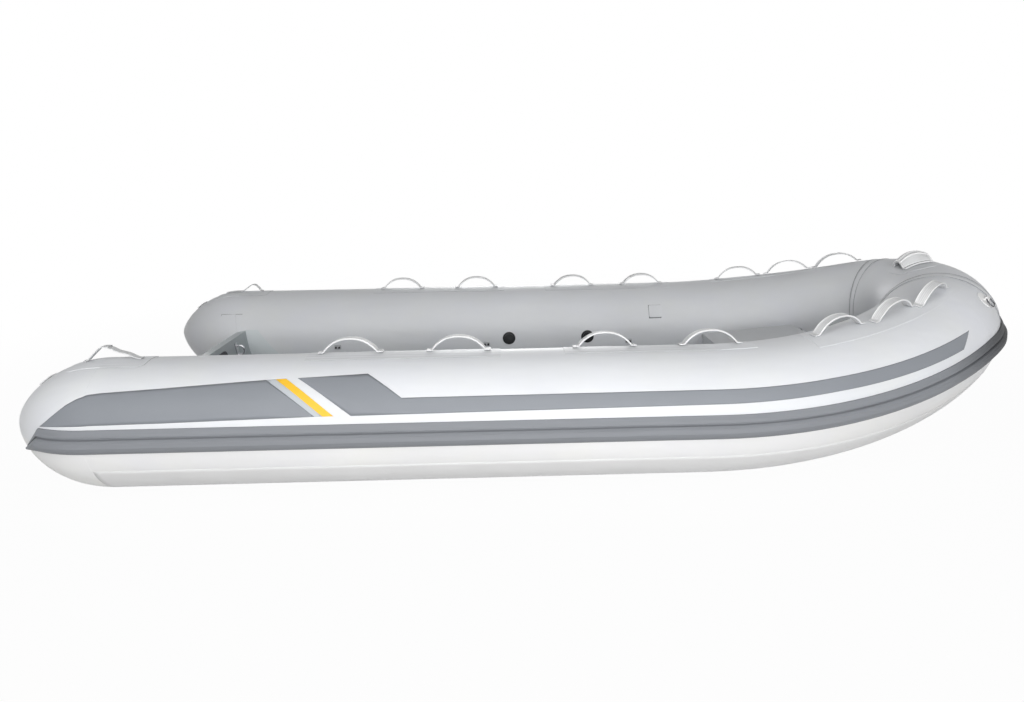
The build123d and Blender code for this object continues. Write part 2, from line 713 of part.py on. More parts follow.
# Hinges on the front edge: a fixed knuckle between two that turn with the lid
hinge_line = lid_plane.location * Pos(hinge_radius + lid_gap, 0, -rim_drop)
leaf_height = 3 * hinge_radius
leaf_depth = 2 * hinge_radius
fixed, moving = [], []
for side in (-1, 1):
    seat = hinge_line * Pos(0, side * hinge_offset, 0)
    axis = Rot(90, 0, 0)
    knuckle = axis * Cylinder(hinge_radius, hinge_length / 3)
    leaf = Pos(-leaf_depth / 2, 0, -leaf_height / 2) * Box(leaf_depth, hinge_length / 3, leaf_height)
    pin = axis * Cylinder(hinge_pin_radius, hinge_length)
    fixed.append(seat * (knuckle + leaf + pin) - walls)
    bore = axis * Cylinder(hinge_pin_radius + pin_clearance, 2 * hinge_length)
    width = hinge_length / 3 - lid_gap
    for end in (-1, 1):
        place = Pos(0, end * (hinge_length + width + 2 * lid_gap) / 3, 0)
        turning = axis * Cylinder(hinge_radius, width)
        leaf = Box(leaf_depth, width, leaf_height - lid_gap)
        turning += Pos(-leaf_depth / 2, 0, (leaf_height + lid_gap) / 2) * leaf
        moving.append(seat * place * turning - seat * bore - lid_block)
nodes["hinge_fixed"] = Compound(fixed)
nodes["hinge_moving"] = Compound(moving)

latch_edge = Pos(aft_x - lid_overhang, 0, locker_aft_height)
latch = latch_edge * Pos(-latch_size[0] / 2, 0, -latch_size[2] / 2) * Box(*latch_size)
nodes["lid_latch"] = latch - lid_block
catch_top = locker_aft_height - latch_size[2] - catch_drop
catch = Pos(aft_x - catch_size[0] / 2, 0, catch_top - catch_size[2] / 2) * Box(*catch_size)
nodes["lid_catch"] = catch

os.makedirs("parts", exist_ok=True)
for name, shape in nodes.items():
    export_step(shape, f"parts/{name}.step")
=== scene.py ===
import math

import bmesh
import bpy
from mathutils import Matrix, Vector


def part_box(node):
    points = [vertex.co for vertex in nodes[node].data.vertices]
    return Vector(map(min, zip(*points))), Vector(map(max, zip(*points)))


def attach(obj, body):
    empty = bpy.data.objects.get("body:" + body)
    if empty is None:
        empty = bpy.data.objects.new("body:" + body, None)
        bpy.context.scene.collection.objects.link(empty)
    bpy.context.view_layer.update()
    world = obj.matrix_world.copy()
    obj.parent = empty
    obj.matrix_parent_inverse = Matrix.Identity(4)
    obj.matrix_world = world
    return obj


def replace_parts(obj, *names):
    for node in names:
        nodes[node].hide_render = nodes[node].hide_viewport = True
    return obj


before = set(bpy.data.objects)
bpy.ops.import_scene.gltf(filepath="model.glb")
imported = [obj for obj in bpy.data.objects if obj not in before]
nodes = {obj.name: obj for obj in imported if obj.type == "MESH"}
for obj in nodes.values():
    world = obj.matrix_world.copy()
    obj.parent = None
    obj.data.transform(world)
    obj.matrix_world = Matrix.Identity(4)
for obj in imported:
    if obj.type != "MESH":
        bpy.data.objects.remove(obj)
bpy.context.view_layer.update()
print("frame loaded:", len(nodes), "nodes")

# angles in radians; lens and sensor in millimetres
cameraSetup = {
    "place": (-0.226, -3.107, 1.123),
    "yaw": -0.020,
    "downTilt": 0.261,
    "roll": -0.017,
    "lens": 24.6,
    "sensor": 36.0,
}


def addCamera(setup):
    data = bpy.data.cameras.new("camera")
    data.lens = setup["lens"]
    data.sensor_width = setup["sensor"]
    camera = bpy.data.objects.new("camera", data)
    tilt = Matrix.Rotation(math.pi / 2 - setup["downTilt"], 4, "X")
    turn = Matrix.Rotation(setup["yaw"], 4, "Z") @ tilt @ Matrix.Rotation(setup["roll"], 4, "Z")
    camera.matrix_world = Matrix.Translation(setup["place"]) @ turn
    bpy.context.scene.collection.objects.link(camera)
    bpy.context.scene.camera = camera


addCamera(cameraSetup)
bpy.context.scene.view_settings.view_transform = "Standard"


class Value:
    # a node's output, wrapped so that shader maths is written as sums
    def __init__(self, tree, socket):
        self.tree, self.socket = tree, socket

    def maths(self, operation, first, second):
        return self.tree.add("ShaderNodeMath", {"operation": operation}, {0: first, 1: second})

    def __add__(self, other):
        return self.maths("ADD", self, other)

    def __radd__(self, other):
        return self.maths("ADD", other, self)

    def __sub__(self, other):
        return self.maths("SUBTRACT", self, other)

    def __rsub__(self, other):
        return self.maths("SUBTRACT", other, self)

    def __mul__(self, other):
        return self.maths("MULTIPLY", self, other)

    def __rmul__(self, other):
        return self.maths("MULTIPLY", other, self)

    def __truediv__(self, other):
        return self.maths("DIVIDE", self, other)

    def __rtruediv__(self, other):
        return self.maths("DIVIDE", other, self)

    def __pow__(self, other):
        return self.maths("POWER", self, other)

    def __rpow__(self, other):
        return self.maths("POWER", other, self)

    def __abs__(self):
        return self.tree.add("ShaderNodeMath", {"operation": "ABSOLUTE"}, {0: self})


class Tree:
    def __init__(self, nodeTree):
        self.nodes, self.links = nodeTree.nodes, nodeTree.links

    def fill(self, socket, value):
        # a link from a node's output, or a constant
        if isinstance(value, Value):
            self.links.new(value.socket, socket)
        else:
            socket.default_value = value

    def add(self, kind, settings=None, inputs=None, output=0):
        node = self.nodes.new(kind)
        for key, setting in (settings or {}).items():
            setattr(node, key, setting)
        for key, value in (inputs or {}).items():
            self.fill(node.inputs[key], value)
        return Value(self, node.outputs[output])

    def shownRays(self):
        # 1 for the rays that show the white surround: the camera's, reflections and glass
        shown = 0.0
        for kind in ("Is Camera Ray", "Is Glossy Ray", "Is Transmission Ray"):
            ray = self.add("ShaderNodeLightPath", output=kind)
            shown = self.add("ShaderNodeMath", {"operation": "MAXIMUM"}, {0: shown, 1: ray})
        return shown


class Paint(Tree):
    def __init__(self, name):
        self.material = bpy.data.materials.new(name)
        self.material.use_nodes = True
        super().__init__(self.material.node_tree)
        self.shader = self.nodes["Principled BSDF"]

    def position(self):
        return self.add("ShaderNodeTexCoord", output="Object")

    def attribute(self, name):
        return self.add("ShaderNodeAttribute", {"attribute_name": name}, output="Fac")

    def stretched(self, scale):
        return self.add("ShaderNodeMapping", {}, {"Vector": self.position(), "Scale": scale})

    def parts(self, vector):
        split = self.add("ShaderNodeSeparateXYZ", {}, {0: vector})
        return [Value(self, split.socket.node.outputs[axis]) for axis in "XYZ"]

    def noise(self, scale, detail=2.0, vector=None, rough=0.5):
        vector = vector or self.position()
        sockets = {"Vector": vector, "Scale": scale, "Detail": detail, "Roughness": rough}
        return self.add("ShaderNodeTexNoise", {}, sockets)

    def step(self, value, low, high):
        # rises smoothly from 0 at low to 1 at high
        sockets = {"Value": value, "From Min": low, "From Max": high}
        return self.add("ShaderNodeMapRange", {"interpolation_type": "SMOOTHSTEP"}, sockets)

    def blend(self, amount, first, second, mode="MIX"):
        # sockets 6, 7 and output 2 are the Mix node's colours
        settings = {"data_type": "RGBA", "blend_type": mode, "clamp_factor": True}
        return self.add("ShaderNodeMix", settings, {0: amount, 6: first, 7: second}, 2)

    def grey(self, value):
        return self.add("ShaderNodeCombineColor", {}, {"Red": value, "Green": value, "Blue": value})

    def bump(self, height, depth, under=None):
        sockets = {"Height": height, "Distance": depth, "Strength": 1.0}
        if under:
            sockets["Normal"] = under
        return self.add("ShaderNodeBump", {}, sockets)

    def finish(self, sockets):
        for key, value in sockets.items():
            self.fill(self.shader.inputs[key], value)
        return self.material


def tone(*levels):
    # a colour written as screen levels from 0 to 255
    shares = [level / 255 for level in levels]
    return (*[s / 12.92 if s <= 0.04045 else ((s + 0.055) / 1.055) ** 2.4 for s in shares], 1.0)


def darker(colour, share):
    return (*[level * share for level in colour[:3]], 1.0)


# the tube's line; its radius, spread and height are read from the cones and the bow tube
coneLow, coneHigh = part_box("aft_cone_port")
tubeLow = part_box("side_tube_port")[0]
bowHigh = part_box("bow_tube")[1]
tubeRadius = (coneHigh.y - coneLow.y) / 2
tubeLine = {
    "sideHeading": math.radians(38),
    "sideClimb": math.radians(14),
    "bowBend": 0.415,
    "seamTurn": math.radians(21.5),
    "coneLength": 0.332,
    "noseRadius": 0.029,
    "tipRise": 0.020,
    "coneBase": coneHigh.x,
    "halfSpread": (coneLow.y + coneHigh.y) / 2,
    "axisHeight": tubeLow.z + tubeRadius,
    "front": bowHigh.x - tubeRadius,
}
up = Vector((0, 0, 1))
ahead = Vector((1, 0, 0))
across = Vector((0, -1, 0))


def planLine(line):
    # bends, and the distances from the stern where each ends
    heading, climb = line["sideHeading"], line["sideClimb"]
    flat = math.cos(climb)
    bent = Vector((flat * math.cos(heading), -flat * math.sin(heading), math.sin(climb)))
    line["bent"] = bent
    line["bowTurn"] = math.acos(bent.dot(across))
    line["sideTurn"] = math.acos(ahead.dot(bent))
    bowStep = (bent + across) * line["bowBend"] * math.tan(line["bowTurn"] / 2)
    sideChord = (ahead + bent) * math.tan(line["sideTurn"] / 2)
    line["sideBend"] = (line["halfSpread"] + bowStep.y) / -sideChord.y
    sideStep = sideChord * line["sideBend"]
    startX = line["front"] - bowStep.x - sideStep.x
    line["bendStart"] = Vector((startX, line["halfSpread"], line["axisHeight"]))
    line["bendEnd"] = line["bendStart"] + sideStep
    line["stern"] = line["coneBase"] - line["coneLength"]
    line["straight"] = line["bendStart"].x - line["stern"]
    line["sideArc"] = line["straight"] + line["sideBend"] * line["sideTurn"]
    line["seam"] = line["sideArc"] + line["bowBend"] * line["seamTurn"]
    line["bow"] = line["sideArc"] + line["bowBend"] * line["bowTurn"]
    rise = tubeRadius - line["noseRadius"]
    line["coneBend"] = (line["coneLength"] ** 2 + rise * rise) / (2 * rise)
    tilt = math.asin(line["tipRise"] / line["coneLength"])
    line["coneHeading"] = Vector((math.cos(tilt), 0, -math.sin(tilt)))


planLine(tubeLine)


def arcPoint(start, direction, target, radius, turn):
    whole = direction.angle(target)
    inward = (target - direction * math.cos(whole)) / math.sin(whole)
    point = start + (direction * math.sin(turn) + inward * (1 - math.cos(turn))) * radius
    return point, direction * math.cos(turn) + inward * math.sin(turn)


def centre(distance, line=tubeLine):
    # the port tube's centre and direction at a distance from the stern
    if distance < line["coneLength"]:
        base = Vector((line["coneBase"], line["halfSpread"], line["axisHeight"]))
        return base - line["coneHeading"] * (line["coneLength"] - distance), line["coneHeading"]
    if distance <= line["straight"]:
        return Vector((line["stern"] + distance, line["halfSpread"], line["axisHeight"])), ahead
    if distance <= line["sideArc"]:
        turn = (distance - line["straight"]) / line["sideBend"]
        return arcPoint(line["bendStart"], ahead, line["bent"], line["sideBend"], turn)
    turn = (distance - line["sideArc"]) / line["bowBend"]
    return arcPoint(line["bendEnd"], line["bent"], across, line["bowBend"], turn)


def skinRadius(distance, line=tubeLine):
    if distance >= line["coneLength"]:
        return tubeRadius
    bend = line["coneBend"]
    return tubeRadius - bend + math.sqrt(bend * bend - (line["coneLength"] - distance) ** 2)


def onTube(distance, clock, lift=0.0):
    # a point off the port tube's skin; clock is 0 outboard, 90 on top, 180 inboard
    point, direction = centre(distance)
    rise = (up - direction * up.dot(direction)).normalized()
    outboard = rise.cross(direction)
    angle = math.radians(clock)
    normal = outboard * math.cos(angle) + rise * math.sin(angle)
    return point + normal * (skinRadius(distance) + lift)


def tubeSeat(distance, clock, lift=0.0):
    # a frame on the port tube: x forward along it, z away from its skin
    point, direction = centre(distance)
    place = onTube(distance, clock, lift)
    normal = (place - point).normalized()
    seat = Matrix((direction, normal.cross(direction), normal)).transposed().to_4x4()
    seat.translation = place
    return seat


def addPiece(name, mesh, paint):
    data = bpy.data.meshes.new(name)
    mesh.to_mesh(data)
    mesh.free()
    for face in data.polygons:
        face.use_smooth = True
    piece = bpy.data.objects.new(name, data)
    bpy.context.scene.collection.objects.link(piece)
    data.materials.append(paint)
    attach(piece, "boat")
    return piece


def mirrorMesh(mesh):
    bmesh.ops.scale(mesh, vec=(1, -1, 1), verts=mesh.verts)
    bmesh.ops.reverse_faces(mesh, faces=mesh.faces)


smallestStep = 1e-6
mergeDistance = 0.00005


def edgeAt(edge, distance):
    # clock angle of a broken line at a distance
    for (d0, c0), (d1, c1) in zip(edge, edge[1:]):
        if distance <= d1:
            return c0 + (c1 - c0) * (distance - d0) / max(d1 - d0, smallestStep)
    return edge[-1][1]


def skinMesh(lower, upper, lift, thickness, stepLength=0.02, rows=10):
    # a thin skin between two edges drawn as (distance, clock) points
    first, last = lower[0][0], lower[-1][0]
    count = max(int((last - first) / stepLength), 2)
    stops = {first + (last - first) * n / count for n in range(count + 1)}
    stops |= {d for d, clock in lower + upper if first <= d <= last}
    stops = sorted(stops)
    mesh = bmesh.new()
    bmesh.ops.create_grid(mesh, x_segments=len(stops) - 1, y_segments=rows, size=0.5)
    for vert in mesh.verts:
        distance = stops[round((vert.co.x + 0.5) * (len(stops) - 1))]
        share = vert.co.y + 0.5
        low, high = edgeAt(lower, distance), edgeAt(upper, distance)
        vert.co = onTube(distance, low + (high - low) * share, lift)
    bmesh.ops.remove_doubles(mesh, verts=mesh.verts, dist=mergeDistance)
    bmesh.ops.recalc_face_normals(mesh, faces=mesh.faces)
    middle = mesh.faces[:][len(mesh.faces) // 2]
    point = centre((first + last) / 2)[0]
    if middle.normal.dot(middle.calc_center_median() - point) < 0:
        bmesh.ops.reverse_faces(mesh, faces=mesh.faces)
    bmesh.ops.solidify(mesh, geom=mesh.faces[:], thickness=thickness)
    return mesh


def addSkins(name, lower, upper, sheet, paint, slot, **steps):
    # the skin on both tubes; sheet is its (lift, thickness)
    for side in ("port", "starboard"):
        mesh = skinMesh(lower, upper, *sheet, **steps)
        if side == "starboard":
            mirrorMesh(mesh)
        addPiece(f"{name}_{side}", mesh, paint)


def addStrips(name, run, clocks, sheet, paint, slot, **steps):
    # a straight strip, from run's (aft, fore) distances and its (low, high) clock angles
    lower, upper = [[(distance, clock) for distance in run] for clock in clocks]
    addSkins(name, lower, upper, sheet, paint, slot, **steps)


clothFinish = {
    "threadScale": 260.0, "threadShare": 0.25, "grainScale": 420.0, "grainShare": 0.5,
    "weaveDepth": 0.00012,
    "rippleScale": 7.0, "rippleStretch": (0.5, 1.0, 1.6), "rippleDepth": 0.0035,
    "cloudScale": 5.0, "cloudSpread": 0.08, "rough": 0.42, "roughSpread": 0.12, "roughScale": 14.0,
}


def clothGrain(paint, setup=clothFinish):
    # coated cloth: a fine woven grain under soft ripples
    threads = [
        paint.add("ShaderNodeTexWave", {"bands_direction": direction},
                  {"Vector": paint.position(), "Scale": setup["threadScale"]})
        for direction in "XZ"
    ]
    grain = paint.noise(setup["grainScale"], 3.0) * setup["grainShare"]
    weave = paint.bump((threads[0] + threads[1]) * setup["threadShare"] + grain, setup["weaveDepth"])
    ripples = paint.noise(setup["rippleScale"], 2.0, paint.stretched(setup["rippleStretch"]))
    return paint.bump(ripples, setup["rippleDepth"], weave)


def clothShade(paint, colour, setup=clothFinish):
    # large soft patches a little lighter and darker than the cloth's colour
    cloud = paint.noise(setup["cloudScale"], 3.0) * setup["cloudSpread"] + (1 - setup["cloudSpread"] / 2)
    return paint.blend(1.0, colour, paint.grey(cloud), "MULTIPLY")


def clothSurface(paint, shade, setup=clothFinish):
    rough = paint.noise(setup["roughScale"], 3.0) * setup["roughSpread"] + setup["rough"]
    return paint.finish({"Base Color": shade, "Roughness": rough, "Normal": clothGrain(paint)})


def clothPaint(name, colour):
    paint = Paint(name)
    return clothSurface(paint, clothShade(paint, colour))


tubeFinish = {
    "upper": tone(225, 227, 230), "lower": tone(232, 232, 232),
    "middleClimb": 0.130,  # of the tube's middle line, by the square of the way round the bow
    "middleFrom": -0.012, "middleTo": 0.006,  # heights off that line between which the tones meet
    "outboardFrom": 0.985, "outboardTo": 1.015,  # of the centreline's ellipse, squared
    "mottle": 0.10, "mottleScale": 3.2, "blueMottleScale": 3.0,
    "rough": 0.40, "roughSpread": 0.12, "roughScale": 9.0,
}


def tubePaint(setup, line=tubeLine):
    # coated cloth, a lighter, less blue tone below the tube's middle line on its outboard side only
    paint = Paint("tubeFabric")
    x, y, z = paint.parts(paint.position())
    climb = paint.add("ShaderNodeMath", {"operation": "MAXIMUM"}, {0: x - line["bendStart"].x, 1: 0.0})
    middle = climb * climb * setup["middleClimb"] + line["axisHeight"]
    below = 1 - paint.step(z - middle, setup["middleFrom"], setup["middleTo"])
    along = climb / (line["front"] - line["bendStart"].x)
    aside = y / line["halfSpread"]
    outboard = paint.step(along * along + aside * aside, setup["outboardFrom"], setup["outboardTo"])
    base = paint.blend(below * outboard, setup["upper"], setup["lower"])
    mottles = [
        paint.noise(setup[scale], 3.0) * setup["mottle"] + (1 - setup["mottle"] / 2)
        for scale in ("mottleScale", "blueMottleScale")
    ]
    channels = {"Red": mottles[0], "Green": mottles[0], "Blue": mottles[1]}
    tint = paint.add("ShaderNodeCombineColor", {}, channels)
    shade = paint.blend(1.0, base, tint, "MULTIPLY")
    rough = paint.noise(setup["roughScale"], 3.0) * setup["roughSpread"] + setup["rough"]
    return paint.finish({"Base Color": shade, "Roughness": rough, "Normal": clothGrain(paint)})


patchFinish = {
    "colour": tone(226, 228, 231), "rimShadeShare": 0.55,
    "aftFade": 0.01, "foreFrom": 0.04, "foreTo": 0.06,  # the rim shows on the straight tube only
    "rimFrom": 0.0013, "rimTo": 0.0018,  # heights off the skin between which the rim ends
}


def patchPaint(setup, line=tubeLine):
    # cloth whose rim, nearer the tube than its face, is darkened with painted shade
    paint = Paint("patchFabric")
    x, y, z = paint.parts(paint.position())
    away = abs(y) - line["halfSpread"]
    height = z - line["axisHeight"]
    reach = (away * away + height * height) ** 0.5
    bend = line["bendStart"].x
    straight = paint.step(x, line["coneBase"], line["coneBase"] + setup["aftFade"])
    straight = straight * (1 - paint.step(x, bend + setup["foreFrom"], bend + setup["foreTo"]))
    # painted shade on the rim's edge step, on the straight tube only
    rim = straight * (1 - paint.step(reach, tubeRadius + setup["rimFrom"], tubeRadius + setup["rimTo"]))
    shade = paint.blend(rim, clothShade(paint, setup["colour"]), darker(setup["colour"], setup["rimShadeShare"]))
    return clothSurface(paint, shade)


rubberFinish = {
    "streakScale": 30.0, "streakStretch": (0.12, 1.0, 3.0), "streakShare": 0.5, "streakDark": 0.72,
    "markScale": 16.0, "markFrom": 0.62, "markTo": 0.78, "markShare": 0.10,
    "markTone": tone(190, 190, 190),
    # the bow's painted shade: where it starts and ends, and how dark it gets
    "bowFrom": 1.35, "bowTo": 1.85, "bowShadeShare": 0.12,  # how far forward it starts and ends darkening
    "rough": 0.5, "roughSpread": 0.15, "specular": 0.25, "grainScale": 650.0, "grainDepth": 0.0001,
}


def rubberPaint(name, colour, paintedBowShade=False, setup=rubberFinish):
    # extruded rubber: faint streaks along it, chalky marks and a fine grain, and where asked, painted
    # shade darkening it toward the bow
    paint = Paint(name)
    streaks = paint.noise(setup["streakScale"], 4.0, paint.stretched(setup["streakStretch"]))
    marks = paint.step(paint.noise(setup["markScale"], 6.0, None, 0.7), setup["markFrom"], setup["markTo"])
    shade = paint.blend(streaks * setup["streakShare"], colour, darker(colour, setup["streakDark"]))
    shade = paint.blend(marks * setup["markShare"], shade, setup["markTone"])
    # painted shade: the strake darkens toward the bow
    if paintedBowShade:
        forward = paint.step(paint.parts(paint.position())[0], setup["bowFrom"], setup["bowTo"])
        shade = paint.blend(forward, shade, darker(colour, setup["bowShadeShare"]))
    paint.shader.inputs["Specular IOR Level"].default_value = setup["specular"]
    rough = streaks * setup["roughSpread"] + setup["rough"]
    grain = paint.bump(paint.noise(setup["grainScale"], 2.0), setup["grainDepth"])
    return paint.finish({"Base Color": shade, "Roughness": rough, "Normal": grain})


webbingFinish = {
    "ribScale": 220.0, "ribStretch": (0.25, 1.0, 1.0), "ribShare": 0.35, "ribDark": 0.78,
    "ribDepth": 0.0004,
    "wornScale": 24.0, "wornFrom": 0.52, "wornTo": 0.70, "wornShare": 0.25,
    "wornTone": tone(236, 236, 234),
    "rough": 0.45, "roughSpread": 0.2,
}


def webbingPaint(name, colour, setup=webbingFinish):
    # ribbed strap: lines along it, worn a little paler on its high spots
    paint = Paint(name)
    ribs = paint.noise(setup["ribScale"], 3.0, paint.stretched(setup["ribStretch"]))
    worn = paint.step(paint.noise(setup["wornScale"], 4.0), setup["wornFrom"], setup["wornTo"])
    shade = paint.blend(ribs * setup["ribShare"], colour, darker(colour, setup["ribDark"]))
    shade = paint.blend(worn * setup["wornShare"], shade, setup["wornTone"])
    rough = ribs * setup["roughSpread"] + setup["rough"]
    grain = paint.bump(ribs, setup["ribDepth"])
    return paint.finish({"Base Color": shade, "Roughness": rough, "Normal": grain})


mouldedFinish = {
    # the second tone is a painted highlight on the raised rims and ribs
    "colour": tone(216, 217, 218), "rimHighlight": tone(246, 246, 246),
    "grimeScale": 18.0, "grimeFrom": 0.5, "grimeTo": 0.8, "grimeShare": 0.12,
    "grimeTone": tone(150, 150, 150),
    "rough": 0.42, "roughSpread": 0.2, "grainScale": 500.0, "grainDepth": 0.0001,
}


def mouldedPaint(setup):
    # moulded rubber strap: a painted highlight on its raised rims and ribs, the hollows between left a
    # little darker
    paint = Paint("handleRubber")
    grime = paint.step(paint.noise(setup["grimeScale"], 5.0), setup["grimeFrom"], setup["grimeTo"])
    # painted highlight, as strong as the point is raised
    shade = paint.blend(paint.attribute("raised"), setup["colour"], setup["rimHighlight"])
    shade = paint.blend(grime * setup["grimeShare"], shade, setup["grimeTone"])
    rough = grime * setup["roughSpread"] + setup["rough"]
    grain = paint.bump(paint.noise(setup["grainScale"], 2.0), setup["grainDepth"])
    return paint.finish({"Base Color": shade, "Roughness": rough, "Normal": grain})


gelcoatFinish = {
    "cloudScale": 2.5, "cloudShare": 0.25, "cloudDark": 0.90,
    "scuffScale": 60.0, "scuffStretch": (0.1, 1.0, 1.0), "scuffFrom": 0.60, "scuffTo": 0.75,
    "scuffRough": 0.2, "scuffCoat": -0.3, "coat": 0.5, "coatRough": 0.06,
    "peelScale": 160.0, "peelDepth": 0.00015,
}


def gelcoatPaint(name, colour, rough, setup=gelcoatFinish):
    # sprayed gelcoat: gloss, faint orange peel and hairline scuffs
    paint = Paint(name)
    streaks = paint.noise(setup["scuffScale"], 6.0, paint.stretched(setup["scuffStretch"]), 0.65)
    scuffs = paint.step(streaks, setup["scuffFrom"], setup["scuffTo"])
    cloud = paint.noise(setup["cloudScale"], 4.0) * setup["cloudShare"]
    paint.shader.inputs["Coat Roughness"].default_value = setup["coatRough"]
    return paint.finish({
        "Base Color": paint.blend(cloud, colour, darker(colour, setup["cloudDark"])),
        "Roughness": scuffs * setup["scuffRough"] + rough,
        "Coat Weight": scuffs * setup["scuffCoat"] + setup["coat"],
        "Normal": paint.bump(paint.noise(setup["peelScale"], 1.0), setup["peelDepth"]),
    })


deckFinish = {
    "colour": tone(182, 185, 187), "spacing": 0.018, "turn": math.radians(45),
    "edgeFrom": -0.3, "edgeTo": 0.4, "padDepth": 0.0008,
    "dirtScale": 6.0, "dirtShare": 0.5, "dirtDark": 0.6, "rough": 0.32, "dirtRough": 0.3,
}


def deckPaint(setup):
    # moulded grip: a diamond pattern of small raised pads, dirt between them
    paint = Paint("deckGelcoat")
    colour, wave = setup["colour"], 2 * math.pi / setup["spacing"]
    sockets = {"Vector": paint.position(), "Rotation": (0, 0, setup["turn"])}
    raised = 1.0
    for axis in paint.parts(paint.add("ShaderNodeMapping", {}, sockets))[:2]:
        ripple = paint.add("ShaderNodeMath", {"operation": "SINE"}, {0: axis * wave})
        raised = paint.step(ripple, setup["edgeFrom"], setup["edgeTo"]) * raised
    dirt = (1 - raised) * paint.noise(setup["dirtScale"], 4.0)
    return paint.finish({
        "Base Color": paint.blend(dirt * setup["dirtShare"], colour, darker(colour, setup["dirtDark"])),
        "Roughness": dirt * setup["dirtRough"] + setup["rough"],
        "Normal": paint.bump(raised, setup["padDepth"]),
    })


plasticFinish = {
    "grainScale": 480.0, "grainDepth": 0.00012, "dustScale": 20.0, "dustFrom": 0.5, "dustTo": 0.8,
    "dustShare": 0.15, "dustTone": tone(120, 120, 120), "dustRough": 0.2,
}


def plasticPaint(name, colour, rough, setup=plasticFinish):
    # moulded plastic: a fine sparkle of grain under patches of dust
    paint = Paint(name)
    dust = paint.step(paint.noise(setup["dustScale"], 5.0), setup["dustFrom"], setup["dustTo"])
    return paint.finish({
        "Base Color": paint.blend(dust * setup["dustShare"], colour, setup["dustTone"]),
        "Roughness": dust * setup["dustRough"] + rough,
        "Normal": paint.bump(paint.noise(setup["grainScale"], 2.0), setup["grainDepth"]),
    })


clipFinish = {
    "peg": tone(30, 31, 34), "base": tone(200, 202, 205), "baseRise": 0.0040, "edge": 0.001,
    "dustScale": 60.0, "dustShare": 0.15, "dustTone": tone(130, 130, 130), "dustRough": 0.2, "rough": 0.35,
    "dustDepth": 0.00015,
}


def clipPaint(setup, line=tubeLine):
    # black pegs standing on a pale base, told apart by their distance from the keel line
    paint = Paint("ropeClip")
    face = line["halfSpread"] - tubeRadius - setup["baseRise"]
    base = paint.step(abs(paint.parts(paint.position())[1]), face, face + setup["edge"])
    dust = paint.noise(setup["dustScale"], 4.0)
    shade = paint.blend(base, setup["peg"], setup["base"])
    shade = paint.blend(dust * setup["dustShare"], shade, setup["dustTone"])
    rough = dust * setup["dustRough"] + setup["rough"]
    grain = paint.bump(dust, setup["dustDepth"])
    return paint.finish({"Base Color": shade, "Roughness": rough, "Normal": grain})


steelFinish = {
    "streakScale": 90.0, "streakStretch": (0.2, 1.0, 1.0), "streakRough": 0.12, "streakDepth": 0.00005,
    "hazeScale": 12.0, "hazeFrom": 0.45, "hazeTo": 0.8, "hazeShare": 0.4, "hazeRough": 0.1, "rough": 0.12,
}


def steelPaint(name, bright, dull, setup=steelFinish):
    # polished metal: fine streaks under a dull haze
    paint = Paint(name)
    paint.shader.inputs["Metallic"].default_value = 1.0
    streaks = paint.noise(setup["streakScale"], 4.0, paint.stretched(setup["streakStretch"]))
    haze = paint.step(paint.noise(setup["hazeScale"], 4.0), setup["hazeFrom"], setup["hazeTo"])
    return paint.finish({
        "Base Color": paint.blend(haze * setup["hazeShare"], bright, dull),
        "Roughness": streaks * setup["streakRough"] + haze * setup["hazeRough"] + setup["rough"],
        "Normal": paint.bump(streaks, setup["streakDepth"]),
    })


paints = {
    "tube": tubePaint(tubeFinish),
    "patch": patchPaint(patchFinish),
    "lowerSkin": clothPaint("lowerFabric", tone(222, 222, 222)),
    "gusset": clothPaint("gussetFabric", tone(220, 226, 228)),
    "band": clothPaint("bandFabric", tone(133, 137, 143)),
    "paleStripe": clothPaint("paleStripeFabric", tone(186, 191, 196)),
    "yellowStripe": clothPaint("yellowStripeFabric", tone(243, 192, 46)),
    "strake": rubberPaint("strakeRubber", tone(140, 143, 148), paintedBowShade=True),
    "keel": rubberPaint("keelRubber", tone(70, 72, 75)),
    "handle": mouldedPaint(mouldedFinish),
    "loop": webbingPaint("loopWebbing", tone(214, 215, 216)),
    "seamLine": clothPaint("seamEdge", tone(176, 178, 181)),
    "black": plasticPaint("blackPlastic", tone(26, 27, 30), 0.42),
    "pad": plasticPaint("padPlastic", tone(48, 49, 53), 0.5),
    "hull": gelcoatPaint("hullGelcoat", tone(236, 237, 237), 0.18),
    "locker": gelcoatPaint("lockerGelcoat", tone(208, 210, 212), 0.3),
    "transom": gelcoatPaint("transomGelcoat", tone(170, 178, 181), 0.3),
    "deck": deckPaint(deckFinish),
    "steel": steelPaint("steel", tone(205, 205, 208), tone(160, 160, 160)),
    "ringSteel": steelPaint("ringSteel", tone(92, 93, 96), tone(60, 60, 62)),
    "lug": clothPaint("lugRubber", tone(243, 243, 243)),
    "clip": clipPaint(clipFinish),
    # dark cloth for the fitting pad's painted shadow and the transom patch's edge lines
    "padShadowAndEdge": clothPaint("padShadowAndEdgeLine", tone(150, 151, 154)),
}

# node name beginnings, with the finish each takes; the first that fits is used
nodeFinishes = (
    ("side_tube", "tube"), ("bow_tube", "tube"), ("aft_cone", "tube"), ("handle_patches", "patch"),
    ("handle", "handle"), ("stern_handle", "loop"), ("bow_lifting", "handle"), ("bow_handle_pad", "patch"),
    ("rub_strake", "strake"), ("strake_cap", "strake"), ("valves", "black"), ("rope_clips", "clip"),
    ("fitting_pad", "patch"), ("bow_ring_lug", "lug"), ("bow_ring", "ringSteel"), ("cone_tab", "loop"),
    ("transom_patch", "patch"), ("transom_gusset", "gusset"), ("transom", "transom"), ("hull", "hull"),
    ("deck", "deck"), ("keel_guard", "keel"), ("motor_pad", "pad"), ("lifting_eyes", "steel"),
    ("bow_eye", "steel"), ("drain_plug", "black"), ("bow_locker", "locker"), ("locker_lid", "locker"),
    ("hinge", "steel"), ("lid", "steel"),
)

